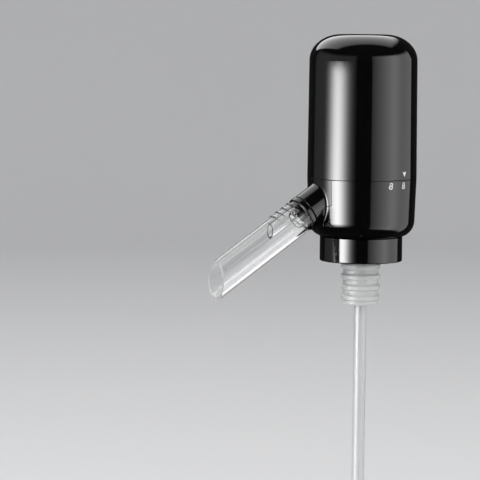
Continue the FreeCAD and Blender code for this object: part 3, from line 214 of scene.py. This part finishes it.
def metal(name, dark, light, low, high, brushed=(1, 1, 1)):
    finish = Finish(name, Metallic=1.0)
    finish.colour(finish.mixed(finish.noise(2.5 * MM, 4.0), dark, light))
    marks = finish.noise(0.5 * MM, 4.0, stretch=brushed)
    finish.roughness(finish.ranged(marks, low, high))
    finish.bump(marks, 0.004 * MM)
    return finish


def lead_wire():
    """One red lead and one black, told apart by the side that they are on."""
    finish = Finish("lead_wire")
    side = finish.ranged(finish.along("y"), 0, 1, -0.1 * MM, 0.1 * MM)
    red = finish.mixed(finish.noise(2 * MM), (0.42, 0.012, 0.01), (0.5, 0.02, 0.015))
    black = finish.mixed(finish.noise(2 * MM), (0.008, 0.008, 0.009), (0.014, 0.014, 0.015))
    finish.colour(finish.mixed(side, red, black))
    finish.roughness(finish.ranged(finish.noise(0.8 * MM), 0.32, 0.45))
    finish.bump(finish.noise(0.4 * MM), 0.01 * MM)
    return finish


def cell_sleeve(low, high):
    """A plain printed sleeve: a pale band at one end, bare steel beyond the sleeve's ends."""
    finish = Finish("cell_sleeve")
    height = finish.along("z")
    soft_edge = 0.05 * MM
    band_foot, sleeve_top, sleeve_foot = low + (high - low) * 0.78, high - 2.0 * MM, low + 0.8 * MM
    band = finish.ranged(height, 0, 1, band_foot, band_foot + soft_edge)
    print_colour = finish.mixed(finish.noise(5 * MM), (0.03, 0.075, 0.09), (0.04, 0.09, 0.105))
    pale = finish.mixed(finish.noise(3 * MM), (0.56, 0.56, 0.54), (0.62, 0.62, 0.6))
    sleeve = finish.mixed(band, print_colour, pale)
    top = finish.ranged(height, 0, 1, sleeve_top, sleeve_top + soft_edge)
    foot = finish.ranged(height, 1, 0, sleeve_foot, sleeve_foot + soft_edge)
    bare = finish.maths("MAXIMUM", top, foot)
    finish.colour(finish.mixed(bare, sleeve, (0.62, 0.61, 0.59)))
    finish.link(bare, finish.shader.inputs["Metallic"])
    finish.roughness(finish.ranged(finish.noise(1.2 * MM, 3.0), 0.24, 0.36))
    finish.bump(finish.noise(1.5 * MM, 2.0), 0.008 * MM)
    return finish


def board_green():
    """Solder mask with the copper's runs showing through it as paler lines."""
    finish = Finish("board_green", Coat_Weight=0.5)
    runs = finish.node("ShaderNodeTexBrick", Scale=1 / (2.4 * MM), Mortar_Size=0.09, Bias=0.0)
    finish.link(finish.place, runs.inputs["Vector"])
    mask = finish.mixed(finish.noise(2 * MM), (0.006, 0.07, 0.025), (0.01, 0.1, 0.035))
    copper = finish.mixed(finish.noise(1 * MM), (0.03, 0.2, 0.06), (0.045, 0.24, 0.075))
    finish.colour(finish.mixed(runs.outputs["Fac"], mask, copper))
    finish.roughness(finish.ranged(finish.noise(1 * MM), 0.3, 0.45))
    finish.bump(runs.outputs["Fac"], 0.03 * MM)
    return finish


mouth_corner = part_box("spout_tube")[0]
cell_low, cell_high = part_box("battery_cell_1")
FINISHES = {
    "gloss_black": gloss_black(),
    "clear_plastic": clear_plastic(mouth_corner.x),
    "straw_plastic": straw_plastic(),
    "silicone": silicone(),
    "black_rubber": moulded("black_rubber", (0.009, 0.009, 0.01), (0.014, 0.014, 0.015), 0.5, 0.66),
    "black_plastic": moulded("black_plastic", (0.01, 0.01, 0.011), (0.016, 0.016, 0.017), 0.4, 0.54),
    "white_plastic": moulded("white_plastic", (0.68, 0.68, 0.66), (0.76, 0.76, 0.74), 0.3, 0.42),
    "red_plastic": moulded("red_plastic", (0.42, 0.01, 0.01), (0.5, 0.016, 0.012), 0.3, 0.4),
    "spring_steel": metal("spring_steel", (0.42, 0.42, 0.43), (0.55, 0.55, 0.56), 0.16, 0.3),
    "nickel": metal("nickel", (0.56, 0.54, 0.5), (0.66, 0.64, 0.59), 0.14, 0.28),
    "zinc_steel": metal("zinc_steel", (0.5, 0.52, 0.55), (0.64, 0.64, 0.6), 0.24, 0.42),
    "motor_steel": metal("motor_steel", (0.48, 0.48, 0.47), (0.6, 0.6, 0.59), 0.2, 0.36, (0.2, 0.2, 3)),
    "lead_wire": lead_wire(),
    "cell_sleeve": cell_sleeve(cell_low.z, cell_high.z),
    "board_green": board_green(),
}
for part in frame["record"]["subparts"]:
    for slot in NODES[part["node"]].material_slots:
        slot.material = FINISHES[part["material_slot"]].material


# ---------------------------------------------------------------- button spring

SPRING_WIRE = 0.3 * MM  # the wire's radius
SPRING_TURNS, RINGS_A_TURN, WIRE_SIDES = 3, 48, 12


def button_coil(node):
    """The button's return spring, wound where its CAD node is, and the corners of that node's box."""
    low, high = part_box(node)
    centre = (low + high) / 2
    radius = (high.x - low.x) / 2 - SPRING_WIRE
    rise = high.z - low.z - 2 * SPRING_WIRE
    count = SPRING_TURNS * RINGS_A_TURN
    verts = []
    for k in range(count + 1):
        turn = math.tau * k / RINGS_A_TURN
        outwards = Vector((math.cos(turn), math.sin(turn), 0))
        middle = Vector((centre.x, centre.y, low.z + SPRING_WIRE + rise * k / count)) + outwards * radius
        for side in range(WIRE_SIDES):
            around = math.tau * side / WIRE_SIDES
            spoke = outwards * math.cos(around) + Vector((0, 0, math.sin(around)))
            verts.append(middle + spoke * SPRING_WIRE)
    faces = [
        (
            k * WIRE_SIDES + side,
            (k + 1) * WIRE_SIDES + side,
            (k + 1) * WIRE_SIDES + (side + 1) % WIRE_SIDES,
            k * WIRE_SIDES + (side + 1) % WIRE_SIDES,
        )
        for k in range(count)
        for side in range(WIRE_SIDES)
    ]
    faces.append(tuple(range(WIRE_SIDES)))
    faces.append(tuple(count * WIRE_SIDES + side for side in reversed(range(WIRE_SIDES))))
    mesh = bpy.data.meshes.new("button_coil")
    mesh.from_pydata(verts, [], faces)
    mesh.update()
    mesh.shade_smooth()
    mesh.materials.append(FINISHES["spring_steel"].material)
    coil = bpy.data.objects.new("button_coil", mesh)
    bpy.context.scene.collection.objects.link(coil)
    return coil, low, high


coil, coil_low, coil_high = button_coil("button_spring")
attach(coil, "cover")
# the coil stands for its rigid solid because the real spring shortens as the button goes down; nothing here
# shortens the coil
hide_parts("button_spring")
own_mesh(coil)


# ---------------------------------------------------------------- printed marks

INK_PROUD = 0.03 * MM
INK_SUNK = 0.03 * MM
WALL_RADIUS = 26 * MM
WELL_OUTSIDE = 100 * MM


def surface_of(name):
    """A function that gives the radius of a node's outer wall at an angle and a height."""
    mesh = NODES[name].data
    tree = BVHTree.FromPolygons([v.co for v in mesh.vertices], [p.vertices for p in mesh.polygons])

    def radius(angle, height):
        outwards = Vector((math.cos(angle), math.sin(angle), 0))
        hit = tree.ray_cast(outwards * WELL_OUTSIDE + Vector((0, 0, height)), -outwards)[0]
        return math.hypot(hit.x, hit.y)

    return radius


def print_shapes(name, body, node, centre_angle, shapes):
    """Ink on a round wall. A shape is two equal rows of points (across, height), one each side of a stroke."""
    radius = surface_of(node)
    verts, faces = [], []

    def put(across, height, proud):
        angle = centre_angle + across / WALL_RADIUS
        r = radius(angle, height) + proud
        verts.append((r * math.cos(angle), r * math.sin(angle), height))
        return len(verts) - 1

    for left, right, closed in shapes:
        rows = [
            [put(*point, proud) for point in row]
            for row, proud in ((left, INK_PROUD), (right, INK_PROUD), (right, -INK_SUNK), (left, -INK_SUNK))
        ]
        count = len(left)
        for k in range(count if closed else count - 1):
            after = (k + 1) % count
            for first, second in zip(rows, rows[1:] + rows[:1]):
                faces.append((first[k], first[after], second[after], second[k]))
        if not closed:
            faces.append(tuple(row[0] for row in rows))
            faces.append(tuple(row[-1] for row in reversed(rows)))
    mesh = bpy.data.meshes.new(name)
    mesh.from_pydata(verts, [], faces)
    mesh.validate()
    mesh.update()
    piece = bpy.data.objects.new(name, mesh)
    bpy.context.scene.collection.objects.link(piece)
    mesh.materials.append(INK.material)
    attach(piece, body)


def arc_stroke(centre, half_width, half_height, stroke, start=0.0, end=360.0, steps=40):
    """A stroke round an oval from one angle to another, in degrees; a whole turn closes."""
    closed = abs(end - start) >= 360
    count = steps if closed else steps + 1
    left, right = [], []
    for k in range(count):
        turn = math.radians(start + (end - start) * k / steps)
        for row, grow in ((left, stroke / 2), (right, -stroke / 2)):
            across = centre[0] + (half_width + grow) * math.cos(turn)
            height = centre[1] + (half_height + grow) * math.sin(turn)
            row.append((across, height))
    return left, right, closed


INK = moulded("mark_ink", (0.9, 0.9, 0.89), (0.96, 0.96, 0.95), 0.3, 0.42, 0.15 * MM, 0.004 * MM)
# The marks' heights are counted from the seam between the cover and the housing. Each padlock is an oval pad
# with a loop on it, and the open one's loop is shifted and has a gap.
SEAM = 39.5 * MM
POINTER_ANGLE = math.radians(-70.5)
LOCKED_ANGLE = math.radians(-71.5)
OPEN_ANGLE = LOCKED_ANGLE - math.radians(17.3)
POINTER_TIP, POINTER_TOP, POINTER_HALF, POINTER_BLUNT = SEAM + 1.8 * MM, SEAM + 4.1 * MM, 1.25 * MM, 0.04 * MM
PAD_CENTRE, PAD_WIDE, PAD_TALL, PAD_STROKE = SEAM - 2.98 * MM, 0.82 * MM, 0.72 * MM, 0.48 * MM
LOOP_CENTRE, LOOP_WIDE, LOOP_TALL, LOOP_STROKE = SEAM - 1.56 * MM, 0.72 * MM, 0.6 * MM, 0.34 * MM
LOOP_SHIFT, LOOP_FROM, LOOP_TO = 0.2 * MM, -75, 205


def pointer_rows(steps=8):
    """The pointer's two edges from its wide top to its tip, which is slightly blunt."""
    rows = [], []
    for k in range(steps + 1):
        half = max(POINTER_HALF * (1 - k / steps), POINTER_BLUNT)
        height = POINTER_TOP + (POINTER_TIP - POINTER_TOP) * k / steps
        rows[0].append((-half, height))
        rows[1].append((half, height))
    return rows[0], rows[1], False


pad = arc_stroke((0, PAD_CENTRE), PAD_WIDE, PAD_TALL, PAD_STROKE)
print_shapes("pointer_mark", "cover", "top_cover", POINTER_ANGLE, [pointer_rows()])
print_shapes(
    "locked_mark", "head", "lower_housing", LOCKED_ANGLE,
    [pad, arc_stroke((0, LOOP_CENTRE), LOOP_WIDE, LOOP_TALL, LOOP_STROKE)],
)
print_shapes(
    "unlocked_mark", "head", "lower_housing", OPEN_ANGLE,
    [pad, arc_stroke((LOOP_SHIFT, LOOP_CENTRE), LOOP_WIDE, LOOP_TALL, LOOP_STROKE, LOOP_FROM, LOOP_TO)],
)


# ---------------------------------------------------------------- stage, light and camera

# The camera stands at a bearing, rise and distance from a point on the object's axis. Its aim is then turned
# away from that point, to the right and up, and it is rolled.
CAMERA_AZIMUTH = math.radians(-30.55)
CAMERA_ELEVATION = math.radians(3.43)
CAMERA_DISTANCE = 1.2123
AIM_CENTRE = Vector((0, 0, 0.05))
AIM_RIGHT = math.radians(-2.723)
AIM_UP = math.radians(-1.931)
ROLL = math.radians(0.527)
LENS, SENSOR = 190.9, 36.0

camera = bpy.data.objects.new("camera", bpy.data.cameras.new("camera"))
bpy.context.scene.collection.objects.link(camera)
camera.data.lens, camera.data.sensor_width = LENS, SENSOR
camera.data.clip_start, camera.data.clip_end = 0.05, 30.0
towards = Vector((
    math.sin(CAMERA_AZIMUTH) * math.cos(CAMERA_ELEVATION),
    -math.cos(CAMERA_AZIMUTH) * math.cos(CAMERA_ELEVATION),
    math.sin(CAMERA_ELEVATION),
))
camera.location = AIM_CENTRE + towards * CAMERA_DISTANCE
straight = -towards
right = straight.cross(Vector((0, 0, 1))).normalized()
above = right.cross(straight)
aim = (
    straight * math.cos(AIM_RIGHT) * math.cos(AIM_UP)
    + right * math.sin(AIM_RIGHT) * math.cos(AIM_UP)
    + above * math.sin(AIM_UP)
).normalized()
level = aim.cross(Vector((0, 0, 1))).normalized()
upright = level.cross(aim)
across = level * math.cos(ROLL) + upright * math.sin(ROLL)
up = upright * math.cos(ROLL) - level * math.sin(ROLL)
camera.matrix_world = Matrix.Translation(camera.location) @ Matrix((across, up, -aim)).transposed().to_4x4()
bpy.context.scene.camera = camera


def staged(name, verts, faces, material):
    """A smooth mesh that belongs to the studio and not to the object."""
    mesh = bpy.data.meshes.new(name)
    mesh.from_pydata(verts, [], faces)
    mesh.update()
    mesh.shade_smooth()
    mesh.materials.append(material)
    made = bpy.data.objects.new(name, mesh)
    bpy.context.scene.collection.objects.link(made)
    return made


def sheet_of(rows):
    """Faces between equal rows of points."""
    count = len(rows[0])
    return [
        (i * count + k, i * count + k + 1, (i + 1) * count + k + 1, (i + 1) * count + k)
        for i in range(len(rows) - 1)
        for k in range(count - 1)
    ]


# The floor is a disc that turns up into a wall all round, so every view has the same plain background. It lies
# just under the straw's tip where the straw is pulled down.
STRAW_TRAVEL, FLOOR_CLEAR = 11 * MM, 0.2 * MM
FLOOR = CAD_BOX[0].z - STRAW_TRAVEL - FLOOR_CLEAR
FLOOR_RADIUS, SWEEP, WALL_HEIGHT, AROUND = 2.6, 1.2, 3.2, 96
profile = [(0.0, 0.0), (0.5, 0.0), (FLOOR_RADIUS, 0.0)]
profile += [
    (FLOOR_RADIUS + SWEEP * math.sin(t), SWEEP * (1 - math.cos(t)))
    for t in (math.radians(6 * k) for k in range(1, 16))
]
profile.append((FLOOR_RADIUS + SWEEP, WALL_HEIGHT))
rows = [
    [(r * math.cos(a), r * math.sin(a), FLOOR + z) for a in (math.tau * k / AROUND for k in range(AROUND + 1))]
    for r, z in profile
]
pale = Finish("studio_floor", Roughness=0.9, Specular_IOR_Level=0.1)
pale.colour(pale.mixed(pale.noise(0.35, 3.0), (0.68, 0.68, 0.685), (0.695, 0.695, 0.695)))
floor = staged("studio_floor", [v for row in rows for v in row], sheet_of(rows), pale.material)
floor.visible_glossy = False


def bell(middle, width, reach):
    """Stops of a light that fades evenly to nought at reach on both sides of its middle."""
    edge = math.exp(-0.5 * (reach / width) ** 2)
    return [
        (middle + k, (math.exp(-0.5 * (k / width) ** 2) - edge) / (1 - edge)) for k in range(-reach, reach + 1)
    ]


# Soft boxes hang on a dome round the object. Bearings are degrees from the camera's side towards the picture's
# right, rises are degrees above the horizon, and each box's light is the product of its two profiles.
SOFT_BOXES = {
    "key_box": dict(
        radius=0.8,
        across=bell(-53, 12, 35),
        upwards=[(-32, 0), (-20, 10), (-12, 23), (-8, 22.5), (-4, 19), (1.2, 16), (2.1, 0)],
    ),
    "left_panel": dict(
        radius=1.8,
        across=[(-124, 0), (-118, 0.4), (-88, 1), (-20, 0.95), (-12, 0)],
        upwards=[(-20, 0), (-14, 0.42), (22, 0.42), (32, 0)],
    ),
    "right_panel": dict(
        radius=1.9,
        across=[(18, 0), (21, 0.2), (65, 1), (72, 1), (90, 0.62), (121, 0.4), (124, 0)],
        upwards=[(-44, 0), (-36, 2.9), (22, 2.9), (30, 0)],
    ),
}
DOME_MIDDLE = Vector((0, 0, 0.06))


def between(stops, place):
    """The value at a place along a row of (place, value) stops, and nought beyond its ends."""
    for (a, first), (b, second) in zip(stops, stops[1:]):
        if a <= place <= b:
            return first + (second - first) * (place - a) / (b - a)
    return 0.0


def direction(bearing, rise=0.0):
    """A vector one long towards a bearing and a rise, in degrees."""
    turn, lift = math.radians(bearing), math.radians(rise)
    facing = Vector((math.sin(CAMERA_AZIMUTH), -math.cos(CAMERA_AZIMUTH), 0))
    rightwards = Vector((math.cos(CAMERA_AZIMUTH), math.sin(CAMERA_AZIMUTH), 0))
    level = facing * math.cos(turn) + rightwards * math.sin(turn)
    return level * math.cos(lift) + Vector((0, 0, math.sin(lift)))


def glowing(name):
    """A light whose strength is painted on its mesh, added to what is behind it."""
    made = bpy.data.materials.new(name)
    made.use_nodes = True
    nodes, links = made.node_tree.nodes, made.node_tree.links
    nodes.clear()
    painted = nodes.new("ShaderNodeAttribute")
    painted.attribute_name = "radiance"
    light = nodes.new("ShaderNodeEmission")
    links.new(painted.outputs["Fac"], light.inputs["Strength"])
    added = nodes.new("ShaderNodeAddShader")
    links.new(light.outputs["Emission"], added.inputs[0])
    links.new(nodes.new("ShaderNodeBsdfTransparent").outputs["BSDF"], added.inputs[1])
    links.new(added.outputs["Shader"], nodes.new("ShaderNodeOutputMaterial").inputs["Surface"])
    return made


def glow_card(name, rows, strengths, seen_by):
    """A card that only one kind of ray meets: mirrored ones, or those that have gone through glass."""
    card = staged(name, [v for row in rows for v in row], sheet_of(rows), glowing(name))
    painted = card.data.attributes.new("radiance", "FLOAT", "POINT")
    painted.data.foreach_set("value", strengths)
    for kind in ("camera", "diffuse", "glossy", "transmission", "volume_scatter", "shadow"):
        setattr(card, "visible_" + kind, kind == seen_by)


def soft_box(name, radius, across, upwards, seen_by="glossy"):
    """A card on the dome, with points at each degree across and at each stop and each 2 degrees upwards."""
    bearings = range(across[0][0], across[-1][0] + 1)
    lowest, highest = upwards[0][0], upwards[-1][0]
    rises = sorted({rise for rise, _ in upwards} | set(range(math.ceil(lowest), math.ceil(highest), 2)))
    glow_card(
        name,
        [[tuple(DOME_MIDDLE + direction(b, r) * radius) for b in bearings] for r in rises],
        [between(across, b) * between(upwards, r) for r in rises for b in bearings],
        seen_by,
    )


for name, shape in SOFT_BOXES.items():
    soft_box(name, **shape)

# A low light behind the right side, which the thick wall of the spout's tube shows along its lower edge. It
# hangs just above the floor.
soft_box(
    "glass_glow", 0.35, [(130, 0), (134, 1), (169, 1), (173, 0)], [(-55, 0), (-52, 0.6), (-31, 0.6), (-28, 0)],
    "transmission",
)

# A ceiling panel behind the object, which the shoulder mirrors. Its corners are given for a height of one, and
# its strength falls from its back edge to its front one, and from left to right.
CEILING = 1.5
PANEL_LEFT, PANEL_RIGHT = ((-2.0, -2.3), (-0.84, 0.2)), ((0.42, -2.4), (0.78, -0.05))
PANEL_STEPS = 24
PANEL_ACROSS = [(0, 0), (0.06, 1), (0.9, 1), (1, 0)]
PANEL_DOWN = [(0, 0), (0.1, 1), (0.94, 1), (1, 0)]
PANEL_BACK, PANEL_FALL = 2.6, 1.5
PANEL_LEFT_GAIN, PANEL_RIGHT_GAIN = 1.35, 1.0
facing, rightwards = direction(0), direction(90)
panel_rows, panel_light = [], []
for j in range(PANEL_STEPS + 1):
    down = j / PANEL_STEPS
    row = []
    for k in range(PANEL_STEPS + 1):
        over = k / PANEL_STEPS
        weights = (1 - over) * (1 - down), (1 - over) * down, over * (1 - down), over * down
        x, y = (sum(w * corner[i] for w, corner in zip(weights, PANEL_LEFT + PANEL_RIGHT)) for i in (0, 1))
        row.append(tuple((rightwards * x + facing * y + Vector((0, 0, 1))) * CEILING))
        edge = between(PANEL_ACROSS, over) * between(PANEL_DOWN, down)
        gain = PANEL_LEFT_GAIN + (PANEL_RIGHT_GAIN - PANEL_LEFT_GAIN) * over
        panel_light.append(edge * (PANEL_BACK - PANEL_FALL * down) * gain)
    panel_rows.append(row)
glow_card("ceiling_panel", panel_rows, panel_light, "glossy")


def area_lamp(name, place, size, watts):
    """A square lamp that faces the body and that no mirrored ray meets."""
    data = bpy.data.lights.new(name, "AREA")
    data.shape, data.size, data.energy = "SQUARE", size, watts
    made = bpy.data.objects.new(name, data)
    bpy.context.scene.collection.objects.link(made)
    made.location = place
    made.rotation_mode = "QUATERNION"
    made.rotation_quaternion = (AIM_CENTRE - place).to_track_quat("-Z", "Y")
    made.visible_glossy = False


area_lamp("key_lamp", direction(-55) * 1.6 + Vector((0, 0, 1.1)), size=1.0, watts=22)
area_lamp("fill_lamp", direction(60) * 1.8 + Vector((0, 0, 0.9)), size=1.2, watts=10)
area_lamp("top_lamp", Vector((0.1, 0.1, 2.2)), size=1.6, watts=22)

# The world lights the object evenly, and is nearly black to mirrored rays, so that the gloss stays black.
world = bpy.data.worlds.new("studio")
bpy.context.scene.world = world
world.use_nodes = True
tree = world.node_tree
tree.nodes.clear()
path = tree.nodes.new("ShaderNodeLightPath")
mix = tree.nodes.new("ShaderNodeMixShader")
tree.links.new(path.outputs["Is Glossy Ray"], mix.inputs["Fac"])
for slot, colour, strength in ((1, (0.97, 0.98, 1.0, 1), 0.55), (2, (0.025, 0.025, 0.027, 1), 1.0)):
    surround = tree.nodes.new("ShaderNodeBackground")
    surround.inputs["Color"].default_value = colour
    surround.inputs["Strength"].default_value = strength
    tree.links.new(surround.outputs["Background"], mix.inputs[slot])
tree.links.new(mix.outputs["Shader"], tree.nodes.new("ShaderNodeOutputWorld").inputs["Surface"])

bpy.context.scene.view_settings.view_transform = "Standard"
